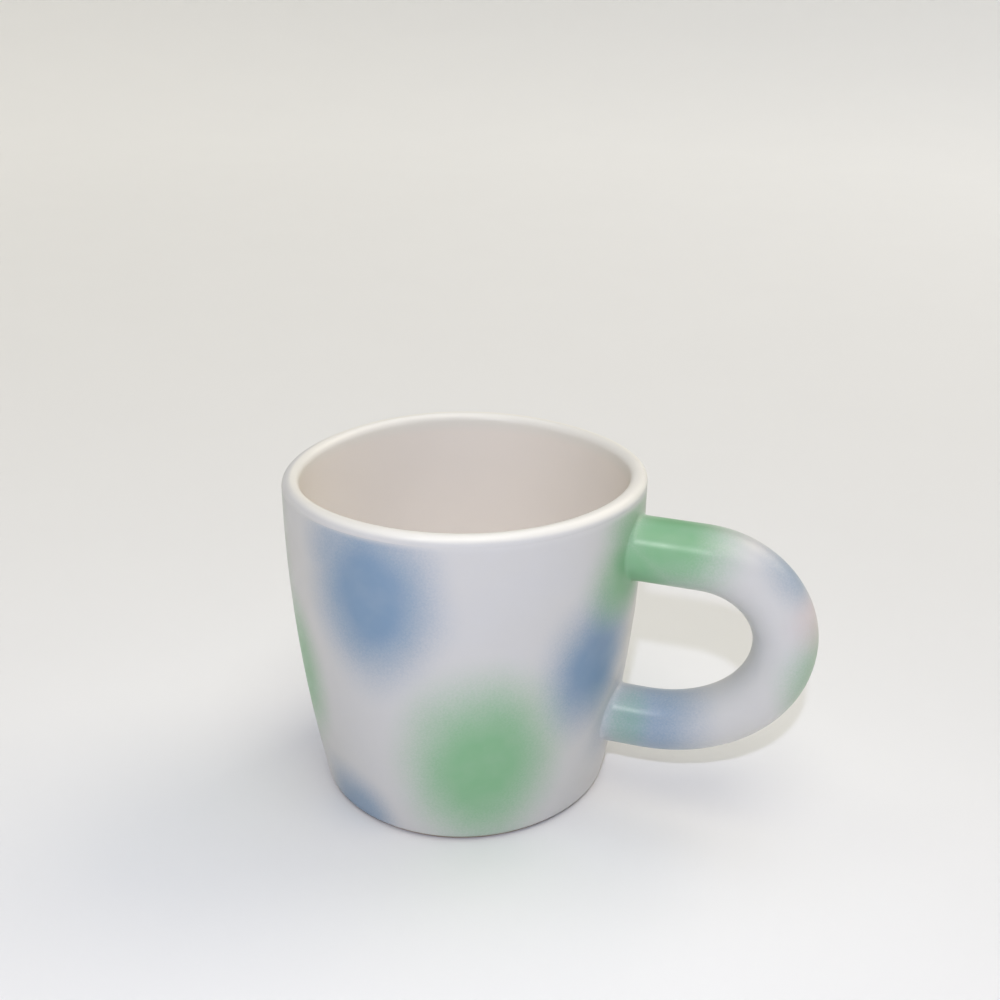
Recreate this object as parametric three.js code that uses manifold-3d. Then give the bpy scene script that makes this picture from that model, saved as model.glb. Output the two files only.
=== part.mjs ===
// A slip-cast stoneware mug with a thick round D-shaped handle. The cup and the handle are cast
// apart, joined with slip at the two ends of the handle, and coated with two glazes: a liner glaze
// poured inside and rolled over the lip, and an outer glaze over the wall, the joints and the
// handle. The foot stays bare clay.
//
// Millimetres, +Z up. The origin is the centre of the foot, on the surface the mug stands on.
// The handle lies in the XZ plane, on the +X side.

import * as THREE from "three";
import { mergeVertices } from "three/addons/utils/BufferGeometryUtils.js";
import Module from "manifold-3d";

const wasm = await Module();
wasm.setup();

// ---- Driving dimensions ------------------------------------------------------------------------

const HEIGHT = 82; // table to the top of the lip
const RIM_RADIUS = 44; // widest outside radius, at the lip
const LIP_RADIUS = 2.1; // half the thickness of the full-round lip
const WALL_BOW = 390; // radius of the outside wall's bow, upright at the lip
const LINING_BOW = 350; // radius of the inside wall's bow, so the wall thickens downwards
const FLOOR = 5.5; // table to the glazed floor inside
const FLOOR_CORNER = 9; // radius where the inside wall turns into the floor
const FOOT_EDGE = 0.9; // radius on the edge of the bare foot

const GLAZE = 0.35; // thickness of both glaze coats
const GAP = 0.25; // clearance between a coat and what it covers
const CLAY = GLAZE + GAP; // depth of the clay below the glazed surface
const GLAZE_LINE = 0.9; // height of the outer glaze's lower edge above the table
const GLAZE_SEAM = 79.2; // height where the liner glaze, rolled over the lip, meets the outer glaze

const UPPER_ARM = 67.8; // height of the handle's upper arm
const LOWER_ARM = 22.7; // height of the lower arm
const APEX = new THREE.Vector2(80.2, 49.3); // outermost point of the handle's centreline
const UPPER_BEND = 60.2; // where the upper arm starts to bend
const LOWER_BEND = 47.2; // where the bend runs out into the lower arm
const UPPER_THICKNESS = 15.8; // diameter of the handle at the upper arm
const LOWER_THICKNESS = 14.8; // diameter at the lower arm
const HANDLE_SHELL = 3.2; // clay thickness of the hollow-cast handle
const JOINT_FILLET = 1.8; // radius of the sponged fillet round each end of the handle
const SLIP_BED = 1.0; // distance between the coped end of the handle and the clay wall
const THINNING = { from: 0.25, to: 0.8 }; // share of the handle's length over which it slims

const SEGMENTS = 48; // sides of the turned pieces
const SECTION_SIDES = 20; // sides of the handle's section
const HANDLE_STEPS = 34; // rings along the handle
const STEPS = { wall: 7, lip: 6, lining: 5, corner: 4, edge: 3, fillet: 4 }; // stretches per curve

const BAR_START = RIM_RADIUS - 12; // where the bar of the handle begins, inside the wall
const FLARE_ROOT = 4; // how far a joint's flare reaches into the wall
const CLEAR = 1; // how far a cutting solid runs past what it cuts

// ---- Out of round, as hand-finished ware is -----------------------------------------------------

const LIP_WAVES = [
  { size: 0.65, lobes: 1, at: 0 },
  { size: 0.26, lobes: 2, at: -62 },
  { size: 0.29, lobes: 3, at: 12 },
];
const RIM_WAVES = [{ size: 0.25, lobes: 4, at: 12 }];
const FOOT_WAVES = [{ size: 0.6, lobes: 3, at: 44 }];
const CALM_RADIUS = 30; // inside this radius the waves die away towards the axis

/** Sum of the waves at an angle round the cup, in radians. */
function wave(waves, angle) {
  const term = ({ size, lobes, at }) => size * Math.cos(lobes * (angle - THREE.MathUtils.degToRad(at)));
  return waves.reduce((sum, each) => sum + term(each), 0);
}

/** How far the wall bulges at this angle and height: the rim's lobes fade into the foot's. */
function bulge(angle, z) {
  const up = THREE.MathUtils.clamp(z / HEIGHT, 0, 1);
  return wave(RIM_WAVES, angle) * up ** 2 + wave(FOOT_WAVES, angle) * (1 - up) ** 2;
}

/** Moves every point of a turned piece by the waves. The foot stays flat on the table. */
function handFinish(geometry) {
  const place = geometry.attributes.position;
  for (let i = 0; i < place.count; i++) {
    const [x, y, z] = [place.getX(i), place.getY(i), place.getZ(i)];
    const radius = Math.hypot(x, y);
    if (radius < 1e-6) continue;
    const angle = Math.atan2(y, x);
    const calm = Math.min(1, radius / CALM_RADIUS);
    const scale = 1 + (bulge(angle, z) * calm) / radius;
    const lift = wave(LIP_WAVES, angle) * Math.max(0, z / HEIGHT) ** 2 * calm;
    place.setXYZ(i, x * scale, y * scale, z + lift);
  }
  return geometry;
}

// ---- Solids ------------------------------------------------------------------------------------

/** A closed geometry as a manifold solid. */
function solid(geometry) {
  const bare = geometry.clone();
  bare.deleteAttribute("normal");
  bare.deleteAttribute("uv");
  const merged = mergeVertices(bare, 1e-5);
  const corners = merged.index.array;
  const triVerts = [];
  for (let i = 0; i < corners.length; i += 3) {
    const [a, b, c] = [corners[i], corners[i + 1], corners[i + 2]];
    if (a !== b && b !== c && c !== a) triVerts.push(a, b, c);
  }
  const vertProperties = new Float32Array(merged.attributes.position.array);
  return new wasm.Manifold(
    new wasm.Mesh({ numProp: 3, vertProperties, triVerts: new Uint32Array(triVerts) }),
  );
}

/** A solid of revolution about Z from a profile of (radius, height) points, waves included. */
function turned(profile) {
  const geometry = new THREE.LatheGeometry(profile, SEGMENTS);
  geometry.rotateX(Math.PI / 2);
  return solid(handFinish(geometry));
}

/** Points along an arc about (x, y), angles in radians. */
function arc(x, y, radius, from, to, steps) {
  const curve = new THREE.EllipseCurve(x, y, radius, radius, from, to, to < from);
  return curve.getPoints(steps);
}

/** The outside wall at a depth below the glaze, from one height to another. */
function outsideWall(depth, from, to, steps) {
  const radius = WALL_BOW - depth;
  const level = HEIGHT - LIP_RADIUS;
  const tilt = (z) => Math.asin((z - level) / radius);
  return arc(RIM_RADIUS - WALL_BOW, level, radius, tilt(from), tilt(to), steps);
}

/** The lip, the inside wall and the floor at a depth below the glaze, down to the axis. */
function inside(depth) {
  const level = HEIGHT - LIP_RADIUS;
  const wallCentre = RIM_RADIUS - 2 * LIP_RADIUS - LINING_BOW;
  const cornerCentre = FLOOR + FLOOR_CORNER;
  const tilt = Math.asin((cornerCentre - level) / (LINING_BOW - FLOOR_CORNER));
  const cornerX = wallCentre + (LINING_BOW - FLOOR_CORNER) * Math.cos(tilt);
  return [
    ...arc(RIM_RADIUS - LIP_RADIUS, level, LIP_RADIUS - depth, 0, Math.PI, STEPS.lip).slice(1),
    ...arc(wallCentre, level, LINING_BOW + depth, 0, tilt, STEPS.lining).slice(1),
    ...arc(cornerX, cornerCentre, FLOOR_CORNER + depth, tilt, -Math.PI / 2, STEPS.corner).slice(1),
    new THREE.Vector2(0, FLOOR - depth),
  ];
}

/** The whole cup at a depth below the glaze, filled to the axis, between two heights. */
function filledCup(depth, from, to) {
  return turned([
    new THREE.Vector2(0, from),
    ...outsideWall(depth, from, to, STEPS.wall),
    new THREE.Vector2(0, to),
  ]);
}

// ---- Handle ------------------------------------------------------------------------------------

/** The handle's centreline as (x, z): level arm, two quarter ellipses, level arm back into the wall. */
function centreline() {
  const path = new THREE.Path();
  path.moveTo(BAR_START, UPPER_ARM);
  path.lineTo(UPPER_BEND, UPPER_ARM);
  path.absellipse(UPPER_BEND, APEX.y, APEX.x - UPPER_BEND, UPPER_ARM - APEX.y, Math.PI / 2, 0, true);
  path.absellipse(LOWER_BEND, APEX.y, APEX.x - LOWER_BEND, APEX.y - LOWER_ARM, 0, -Math.PI / 2, true);
  path.lineTo(BAR_START, LOWER_ARM);
  return path;
}

const HANDLE_LINE = centreline();
const HANDLE_LENGTH = HANDLE_LINE.getLength();

/** Radius of the glazed handle at a share of its length: even along the arms, slimmer below. */
function handleRadius(share) {
  const slimmed = THREE.MathUtils.smoothstep(share, THINNING.from, THINNING.to);
  return THREE.MathUtils.lerp(UPPER_THICKNESS, LOWER_THICKNESS, slimmed) / 2;
}

/** Carries a straight bar turned about Y onto a line in the XZ plane. */
function bend(geometry, line, length) {
  const place = geometry.attributes.position;
  for (let i = 0; i < place.count; i++) {
    const share = THREE.MathUtils.clamp(place.getY(i) / length, 0, 1);
    const centre = line.getPointAt(share);
    const along = line.getTangentAt(share);
    const across = place.getX(i);
    place.setXYZ(i, centre.x - along.y * across, place.getZ(i), centre.y + along.x * across);
  }
  return geometry;
}

/** The handle as a solid bar whose surface lies at a depth below the glaze. */
function bar(depth) {
  const ring = (i) => {
    const share = i / HANDLE_STEPS;
    return new THREE.Vector2(handleRadius(share) - depth, share * HANDLE_LENGTH);
  };
  const rings = Array.from({ length: HANDLE_STEPS + 1 }, (_, i) => ring(i));
  const profile = [new THREE.Vector2(0, 0), ...rings, new THREE.Vector2(0, HANDLE_LENGTH)];
  return solid(bend(new THREE.LatheGeometry(profile, SECTION_SIDES), HANDLE_LINE, HANDLE_LENGTH));
}

/** The flare between wall and handle at one arm, a concave fillet wrapped onto the round wall. */
function flare(depth, height, radius) {
  const reach = JOINT_FILLET;
  const fillet = arc(reach, radius + reach, reach + depth, Math.PI, 1.5 * Math.PI, STEPS.fillet);
  const profile = [
    new THREE.Vector2(0, 0),
    new THREE.Vector2(radius + reach, 0),
    ...fillet.map((p) => new THREE.Vector2(p.y, p.x + FLARE_ROOT)),
    new THREE.Vector2(0, FLARE_ROOT + reach),
  ];
  const geometry = new THREE.LatheGeometry(profile, SECTION_SIDES);
  const place = geometry.attributes.position;
  for (let i = 0; i < place.count; i++) {
    const y = place.getZ(i);
    const z = height + place.getX(i);
    place.setXYZ(i, wallAt(y, z) + place.getY(i) - FLARE_ROOT, y, z);
  }
  return solid(geometry);
}

/** How far out the glazed wall stands at a given Y and height, on the handle's side. */
function wallAt(y, z) {
  const level = HEIGHT - LIP_RADIUS;
  const round = RIM_RADIUS - WALL_BOW + Math.sqrt(WALL_BOW ** 2 - (z - level) ** 2);
  const radius = round + bulge(Math.asin(y / round), z);
  return Math.sqrt(radius ** 2 - y ** 2);
}

const JOINTS = [
  { name: "upper_joint_slip", height: UPPER_ARM, radius: UPPER_THICKNESS / 2 },
  { name: "lower_joint_slip", height: LOWER_ARM, radius: LOWER_THICKNESS / 2 },
];

// ---- The pieces --------------------------------------------------------------------------------

/** The cast cup: floor, wall and lip of bare clay, flat underneath with a softened foot edge. */
function cupBody() {
  const edgeTop = outsideWall(CLAY, FOOT_EDGE, HEIGHT - LIP_RADIUS, 1)[0];
  const edge = arc(edgeTop.x - FOOT_EDGE, FOOT_EDGE, FOOT_EDGE, -Math.PI / 2, 0, STEPS.edge);
  return turned([
    new THREE.Vector2(0, 0),
    ...edge,
    ...outsideWall(CLAY, FOOT_EDGE, HEIGHT - LIP_RADIUS, STEPS.wall).slice(1),
    ...inside(CLAY),
  ]);
}

/** The hollow-cast handle, its two open ends coped to the round of the wall. */
function handle() {
  const hollow = bar(CLAY).subtract(bar(CLAY + HANDLE_SHELL));
  return hollow.subtract(filledCup(CLAY - SLIP_BED, -CLEAR, HEIGHT + CLEAR));
}

/** Slip at one end of the handle: the bed under the coped end and the fillet wiped round it. */
function jointSlip({ height, radius }) {
  const bed = filledCup(CLAY - GAP, -CLEAR, HEIGHT + CLEAR);
  const wallRoom = filledCup(CLAY - SLIP_BED + GAP, -CLEAR, HEIGHT + CLEAR);
  const handleRoom = bar(CLAY - GAP).subtract(wallRoom);
  return flare(CLAY, height, radius)
    .subtract(bed)
    .subtract(handleRoom)
    .subtract(bar(CLAY + HANDLE_SHELL));
}

/** Everything outside the cup at a depth below the glaze, between two heights. */
function outside(depth, from, to) {
  const flares = JOINTS.map(({ height, radius }) => flare(depth, height, radius));
  return flares.reduce((sum, each) => sum.add(each), filledCup(depth, from, to).add(bar(depth)));
}

/** The outer glaze: one coat over the wall, both joints and the handle. */
function outerGlaze() {
  const within = outside(GLAZE, GLAZE_LINE - CLEAR, GLAZE_SEAM + CLEAR);
  return outside(0, GLAZE_LINE, GLAZE_SEAM).subtract(within);
}

/** The liner glaze: floor, inside wall and lip, ending just outside below the lip. */
function linerGlaze() {
  const seam = GLAZE_SEAM + GAP;
  const level = HEIGHT - LIP_RADIUS;
  const face = [...outsideWall(0, seam, level, 1), ...inside(0)];
  const back = [...outsideWall(GLAZE, seam, level, 1), ...inside(GLAZE)];
  return turned([...back.reverse(), ...face]);
}

// ---- Finishes and assembly ----------------------------------------------------------------------

const bareClay = () => new THREE.MeshStandardMaterial({ color: 0xcfc4b2, roughness: 0.85, metalness: 0 });
const driedSlip = () => new THREE.MeshStandardMaterial({ color: 0xd8d0c2, roughness: 0.8, metalness: 0 });
const whiteGlaze = () => new THREE.MeshStandardMaterial({ color: 0xdcdcda, roughness: 0.35, metalness: 0 });
const creamGlaze = () => new THREE.MeshStandardMaterial({ color: 0xe9e5d8, roughness: 0.25, metalness: 0 });

/** A named mesh from a manifold solid. */
function piece(name, manifold, material) {
  const { numProp, vertProperties, triVerts } = manifold.getMesh();
  const points = new Float32Array((vertProperties.length / numProp) * 3);
  for (let i = 0; i < points.length / 3; i++) {
    points.set(vertProperties.subarray(i * numProp, i * numProp + 3), i * 3);
  }
  const geometry = new THREE.BufferGeometry();
  geometry.setAttribute("position", new THREE.BufferAttribute(points, 3));
  geometry.setIndex(new THREE.BufferAttribute(new Uint32Array(triVerts), 1));
  geometry.computeVertexNormals();
  const mesh = new THREE.Mesh(geometry, material);
  mesh.name = name;
  return mesh;
}

const group = new THREE.Group();
group.add(piece("cup_body", cupBody(), bareClay()));
group.add(piece("handle", handle(), bareClay()));
for (const joint of JOINTS) group.add(piece(joint.name, jointSlip(joint), driedSlip()));
group.add(piece("outer_glaze", outerGlaze(), whiteGlaze()));
group.add(piece("liner_glaze", linerGlaze(), creamGlaze()));

export default group;
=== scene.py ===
"""A white stoneware mug with sprayed blue and green patches, on a pale studio sweep.

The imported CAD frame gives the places. This script makes the fine surfaces over it: the clay cup,
the outer glaze as one skin over wall, joints and handle, and the liner glaze over lip and inside.
"""

import enum
import logging
import math
from dataclasses import dataclass, field
from typing import Callable, Iterable, Sequence

import bmesh
import bpy
from bmesh.types import BMEdge, BMesh, BMFace, BMVert
from mathutils import Matrix, Vector


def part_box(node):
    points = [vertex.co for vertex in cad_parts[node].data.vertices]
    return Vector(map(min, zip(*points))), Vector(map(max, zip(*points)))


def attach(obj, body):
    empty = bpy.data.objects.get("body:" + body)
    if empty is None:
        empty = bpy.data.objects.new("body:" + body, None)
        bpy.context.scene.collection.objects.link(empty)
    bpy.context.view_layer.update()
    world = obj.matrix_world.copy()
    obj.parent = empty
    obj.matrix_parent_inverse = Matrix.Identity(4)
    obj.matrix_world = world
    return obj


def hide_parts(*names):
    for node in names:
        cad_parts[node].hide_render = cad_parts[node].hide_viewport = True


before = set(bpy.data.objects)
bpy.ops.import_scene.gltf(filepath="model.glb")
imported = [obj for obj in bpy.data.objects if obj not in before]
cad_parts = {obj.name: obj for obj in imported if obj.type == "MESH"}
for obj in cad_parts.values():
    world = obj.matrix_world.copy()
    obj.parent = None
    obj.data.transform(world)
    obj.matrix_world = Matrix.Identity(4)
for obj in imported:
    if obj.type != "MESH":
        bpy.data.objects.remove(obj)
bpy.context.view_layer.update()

LOG = logging.getLogger("mug")
MM = 0.001
ROOT = "root"
TURN = 2 * math.pi
Colour = tuple[float, float, float]
Outline = list[tuple[float, float]]


# ---- The form, in millimetres ---------------------------------------------------------------


def smooth(value: float, low: float, high: float) -> float:
    """Ease from 0 at low to 1 at high."""
    share = min(1.0, max(0.0, (value - low) / (high - low)))
    return share * share * (3 - 2 * share)


def arc(x: float, y: float, radius: float, start: float, end: float, steps: int) -> Outline:
    """Points along an arc.

    Args:
        x: Centre, across.
        y: Centre, up.
        radius: Radius of the arc.
        start: First angle in radians.
        end: Last angle in radians.
        steps: Number of stretches between the points.

    Returns:
        The points from start to end, both included.
    """
    angles = [start + (end - start) * i / steps for i in range(steps + 1)]
    return [(x + radius * math.cos(a), y + radius * math.sin(a)) for a in angles]


@dataclass(frozen=True)
class Wave:
    """One way in which hand-finished ware is out of round.

    Attributes:
        size: Height of the wave.
        lobes: Number of crests round the cup.
        crest: Where the first crest is, in degrees round from the handle.
    """

    size: float
    lobes: int
    crest: float

    def at(self, angle: float) -> float:
        """The wave's height at an angle round the cup, in radians."""
        return self.size * math.cos(self.lobes * (angle - math.radians(self.crest)))


@dataclass(frozen=True)
class HandFinish:
    """The waves of the lip's height, and of the radius at the rim and at the foot."""

    lip: tuple[Wave, ...] = (Wave(0.65, 1, 0), Wave(0.26, 2, -62), Wave(0.29, 3, 12))
    rim: tuple[Wave, ...] = (Wave(0.25, 4, 12),)
    foot: tuple[Wave, ...] = (Wave(0.6, 3, 44),)

    def bulge(self, angle: float, up: float) -> float:
        """How far out the wall stands of true round.

        Args:
            angle: Angle round the cup from the handle, in radians.
            up: Share of the cup's height.

        Returns:
            The distance in millimetres.
        """
        rim = sum(wave.at(angle) for wave in self.rim)
        foot = sum(wave.at(angle) for wave in self.foot)
        return rim * up**2 + foot * (1 - up) ** 2

    def lift(self, angle: float, up: float) -> float:
        """How far the clay stands above true level, at an angle and a share of the height."""
        return sum(wave.at(angle) for wave in self.lip) * up**2


@dataclass(frozen=True)
class CupForm:
    """The cup's section, in millimetres, at any depth below the glazed surface.

    Attributes:
        height: Table to the top of the lip.
        rim_radius: Outside radius at the lip.
        lip_radius: Half the thickness of the full-round lip.
        wall_bow: Radius of the outside wall's bow.
        lining_bow: Radius of the inside wall's bow.
        floor: Table to the glazed floor inside.
        floor_corner: Radius where the inside wall turns into the floor.
        foot_edge: Radius on the edge of the bare foot.
        glaze: Thickness of a coat of glaze.
        clay_depth: Depth of the clay below the glazed surface.
        calm_radius: Radius inside which the waves die away towards the axis.
        finish: How the cup is out of round.
    """

    height: float = 81.995
    rim_radius: float = 43.995
    lip_radius: float = 2.1
    wall_bow: float = 390.0
    lining_bow: float = 350.0
    floor: float = 5.5
    floor_corner: float = 9.0
    foot_edge: float = 0.9
    glaze: float = 0.35
    clay_depth: float = 0.6
    calm_radius: float = 30.0
    finish: HandFinish = HandFinish()

    @property
    def level(self) -> float:
        """Height of the lip's centre, where the wall stands upright."""
        return self.height - self.lip_radius

    def wall_radius(self, z: float, depth: float = 0.0) -> float:
        """Radius of the outside wall at a height."""
        bow = self.wall_bow - depth
        return self.rim_radius - self.wall_bow + math.sqrt(bow**2 - (z - self.level) ** 2)

    def wall(self, heights: Iterable[float], depth: float = 0.0) -> Outline:
        """The outside wall as (radius, height) points at the given heights."""
        return [(self.wall_radius(z, depth), z) for z in heights]

    def lip(self, depth: float, start: float, end: float, steps: int) -> Outline:
        """An arc of the full-round lip, angled in radians from the outside over the top."""
        centre = self.rim_radius - self.lip_radius
        return arc(centre, self.level, self.lip_radius - depth, start, end, steps)

    def lining(self, depth: float, steps: int) -> Outline:
        """The inside wall, the floor's corner and the floor.

        Args:
            depth: Depth below the glazed surface.
            steps: Number of stretches in the wall.

        Returns:
            Points from just below the lip down to the axis.
        """
        wall_x = self.rim_radius - 2 * self.lip_radius - self.lining_bow
        corner_z = self.floor + self.floor_corner
        swing = self.lining_bow - self.floor_corner
        tilt = math.asin((corner_z - self.level) / swing)
        corner_x = wall_x + swing * math.cos(tilt)
        wall = arc(wall_x, self.level, self.lining_bow + depth, 0, tilt, steps)
        corner_steps, floor_steps = 10, 8
        corner_radius = self.floor_corner + depth
        corner = arc(corner_x, corner_z, corner_radius, tilt, -math.pi / 2, corner_steps)
        shares = [1 - i / floor_steps for i in range(1, floor_steps + 1)]
        floor = [(corner_x * share, self.floor - depth) for share in shares]
        return wall[1:] + corner[1:] + floor

    def hand_finished(self, point: Vector) -> Vector:
        """Moves a point of the true-round cup to where the hand-finished one has it.

        Args:
            point: The point, in metres.

        Returns:
            The moved point, in metres.
        """
        radius = math.hypot(point.x, point.y) / MM
        if radius < 1e-3:
            return point.copy()
        angle = math.atan2(point.y, point.x)
        up = min(1.0, max(0.0, point.z / MM / self.height))
        full = min(1.0, radius / self.calm_radius)
        scale = 1 + self.finish.bulge(angle, up) * full / radius
        lift = self.finish.lift(angle, up) * full * MM
        return Vector((point.x * scale, point.y * scale, point.z + lift))

    def wall_beside_handle(self, y: float, z: float) -> float:
        """How far out the glazed wall stands, on the handle's side.

        Args:
            y: Place across the handle.
            z: Height.

        Returns:
            X of the wall there.
        """
        radius = self.wall_radius(z)
        radius += self.finish.bulge(math.asin(y / radius), z / self.height)
        return math.sqrt(radius**2 - y**2)


@dataclass(frozen=True)
class HandleForm:
    """The handle's centreline and thickness, in millimetres, in the plane of X and Z.

    Attributes:
        upper_arm: Height of the upper arm.
        lower_arm: Height of the lower arm.
        apex_x: X of the outermost point.
        apex_z: Height of the outermost point.
        upper_bend: X where the upper arm starts to bend.
        lower_bend: X where the bend runs out into the lower arm.
        upper_thickness: Thickness of the upper arm.
        lower_thickness: Thickness of the lower arm.
        thinning: Shares of the length between which it slims.
        fillet: Radius of the fillet round each end.
        stretch: Length of the stretches of an arm.
    """

    upper_arm: float = 67.8
    lower_arm: float = 22.7
    apex_x: float = 80.2
    apex_z: float = 49.3
    upper_bend: float = 60.2
    lower_bend: float = 47.2
    upper_thickness: float = 15.8
    lower_thickness: float = 14.8
    thinning: tuple[float, float] = (0.15, 0.85)
    fillet: float = 1.0
    stretch: float = 2.5

    def line(self, upper_start: float, lower_end: float, steps: int) -> list[Vector]:
        """The centreline, from the fillet on the upper arm to the fillet on the lower arm.

        Args:
            upper_start: X where the upper arm leaves its fillet.
            lower_end: X where the lower arm meets its fillet.
            steps: Number of stretches in each quarter ellipse.

        Returns:
            Points in the plane of X and Z, about evenly spaced.
        """
        quarter = [math.pi / 2 * i / steps for i in range(steps + 1)]
        wide, tall = self.apex_x - self.upper_bend, self.upper_arm - self.apex_z
        bend_in = [
            Vector((self.upper_bend + wide * math.sin(a), 0, self.apex_z + tall * math.cos(a)))
            for a in quarter
        ]
        wide, tall = self.apex_x - self.lower_bend, self.apex_z - self.lower_arm
        bend_out = [
            Vector((self.lower_bend + wide * math.cos(a), 0, self.apex_z - tall * math.sin(a)))
            for a in quarter[1:]
        ]
        arm_in = self.arm(upper_start, self.upper_bend, self.upper_arm)
        arm_out = self.arm(self.lower_bend, lower_end, self.lower_arm)
        return arm_in[:-1] + bend_in + bend_out + arm_out[1:]

    def arm(self, start: float, end: float, height: float) -> list[Vector]:
        """A level arm from one X to another, in even stretches."""
        steps = max(1, round(abs(end - start) / self.stretch))
        return [Vector((start + (end - start) * i / steps, 0, height)) for i in range(steps + 1)]

    def radius(self, share: float) -> float:
        """Half the thickness at a share of the length, slimmer towards the lower arm."""
        slimmed = smooth(share, *self.thinning)
        slimming = self.upper_thickness - self.lower_thickness
        return (self.upper_thickness - slimming * slimmed) / 2


CUP = CupForm()
HANDLE = HandleForm()


# ---- Mesh work ------------------------------------------------------------------------------


def spun(bm: BMesh, outline: Outline, columns: int, closed: bool = False) -> None:
    """Turns an outline about the cup's axis, with its doubles merged.

    Args:
        bm: The mesh to add to.
        outline: (radius, height) points in millimetres.
        columns: Number of columns round the cup.
        closed: Whether the last point joins the first.
    """
    verts = [bm.verts.new((radius * MM, 0, z * MM)) for radius, z in outline]
    pairs = list(zip(verts, verts[1:]))
    if closed:
        pairs.append((verts[-1], verts[0]))
    edges = [bm.edges.new(pair) for pair in pairs]
    bmesh.ops.spin(
        bm,
        geom=verts + edges,
        cent=(0, 0, 0),
        axis=(0, 0, 1),
        angle=TURN,
        steps=columns,
        use_merge=True,
        use_duplicate=False,
    )
    bmesh.ops.remove_doubles(bm, verts=bm.verts, dist=0.002 * MM)


def face_outwards(bm: BMesh, probe: Callable[[BMFace], float]) -> None:
    """Recalculates the normals, and turns them round if a probe of them says that they point in.

    Args:
        bm: The mesh, with its doubles merged.
        probe: Gives a face's share of pointing outwards, summed over all faces.
    """
    bmesh.ops.recalc_face_normals(bm, faces=bm.faces)
    bm.normal_update()
    if sum(probe(face) * face.calc_area() for face in bm.faces) < 0:
        bmesh.ops.reverse_faces(bm, faces=bm.faces)


def finished(bm: BMesh, name: str) -> bpy.types.Object:
    """Makes a smooth-shaded object at the origin out of a mesh, and frees the mesh.

    Args:
        bm: The mesh.
        name: The object's name.

    Returns:
        The object, linked to the scene.
    """
    for face in bm.faces:
        face.smooth = True
    mesh = bpy.data.meshes.new(name)
    bm.to_mesh(mesh)
    bm.free()
    piece = bpy.data.objects.new(name, mesh)
    bpy.context.scene.collection.objects.link(piece)
    return piece


def subdivided(piece: bpy.types.Object, levels: int) -> None:
    """Adds a subdivision surface that is the same in the view and in the render.

    Args:
        piece: The object to smooth.
        levels: Number of times that its faces are split.
    """
    modifier = piece.modifiers.new("smooth", "SUBSURF")
    modifier.levels = levels
    modifier.render_levels = levels


def thickened(piece: bpy.types.Object, thickness: float) -> None:
    """Gives an outward-facing skin its thickness, inwards.

    Args:
        piece: The object, an open skin.
        thickness: Its thickness, in millimetres.
    """
    modifier = piece.modifiers.new("coat", "SOLIDIFY")
    modifier.thickness = thickness * MM
    modifier.offset = -1


# ---- Finishes -------------------------------------------------------------------------------


class Pigment(enum.Enum):
    """Underglaze colours, as they look through the glaze."""

    BLUE = (0.18, 0.28, 0.40)
    GREEN = (0.20, 0.415, 0.22)
    ROSE = (0.60, 0.47, 0.46)


@dataclass(frozen=True)
class Patch:
    """A soft patch of pigment at one place: most are sprayed, one is painted shade.

    Attributes:
        pigment: Its colour.
        centre: Where the spray was aimed, in millimetres.
        spread: Half its width through, across and up, in millimetres, where it has half faded.
        turn: How far its axes are turned about the cup's axis, in degrees.
        strength: Share of full colour at its centre.
    """

    pigment: Pigment
    centre: tuple[float, float, float]
    spread: tuple[float, float, float]
    turn: float = 0.0
    strength: float = 1.0

    @classmethod
    def on_wall(
        cls,
        pigment: Pigment,
        angle: float,
        z: float,
        wide: float,
        tall: float,
        strength: float = 1.0,
    ) -> "Patch":
        """A patch on the outside wall.

        Args:
            pigment: Its colour.
            angle: Degrees round the cup from the handle.
            z: Height of its centre.
            wide: Half its width.
            tall: Half its height.
            strength: Share of full colour at its centre.

        Returns:
            The patch.
        """
        radius = CUP.wall_radius(z)
        x = radius * math.cos(math.radians(angle))
        y = radius * math.sin(math.radians(angle))
        return cls(pigment, (x, y, z), (wide, wide, tall), angle, strength)


PATCHES: tuple[Patch, ...] = (
    Patch.on_wall(Pigment.BLUE, -98.5, 65.5, 14, 18),
    Patch.on_wall(Pigment.BLUE, -108, 73, 10, 10, 0.65),
    Patch.on_wall(Pigment.GREEN, -62, 22.5, 15.5, 19.5),
    Patch.on_wall(Pigment.BLUE, -23, 44, 12, 15),
    Patch.on_wall(Pigment.GREEN, -143, 34, 11, 16),
    # Painted shade, not a spray: a faint tall green band that darkens the wall's far left edge.
    Patch.on_wall(Pigment.GREEN, -154, 62, 9, 28, 0.25),
    Patch.on_wall(Pigment.BLUE, -117, 1, 10, 10, 0.9),
    Patch.on_wall(Pigment.BLUE, 168, 62, 14, 15),
    Patch.on_wall(Pigment.GREEN, 121, 38, 15, 18),
    Patch.on_wall(Pigment.BLUE, 82, 64, 12, 14),
    Patch.on_wall(Pigment.BLUE, 160, 10, 12, 11),
    Patch.on_wall(Pigment.GREEN, 60, 18, 14, 14),
    Patch.on_wall(Pigment.GREEN, -8, 64.5, 12, 10.5),
    Patch(Pigment.GREEN, (53, -4, 73), (13, 14, 10.5)),
    Patch(Pigment.BLUE, (84, 3, 71), (8, 11, 9), strength=0.75),
    Patch(Pigment.ROSE, (88, -1, 57), (7, 9, 6), strength=0.4),
    Patch(Pigment.GREEN, (90, -1, 41), (9, 9, 12), strength=0.65),
    Patch(Pigment.BLUE, (50.5, -4, 24), (11.5, 14, 12), strength=0.75),
    Patch(Pigment.GREEN, (44.5, -8, 24), (4.5, 8, 9), strength=0.38),
)


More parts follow.
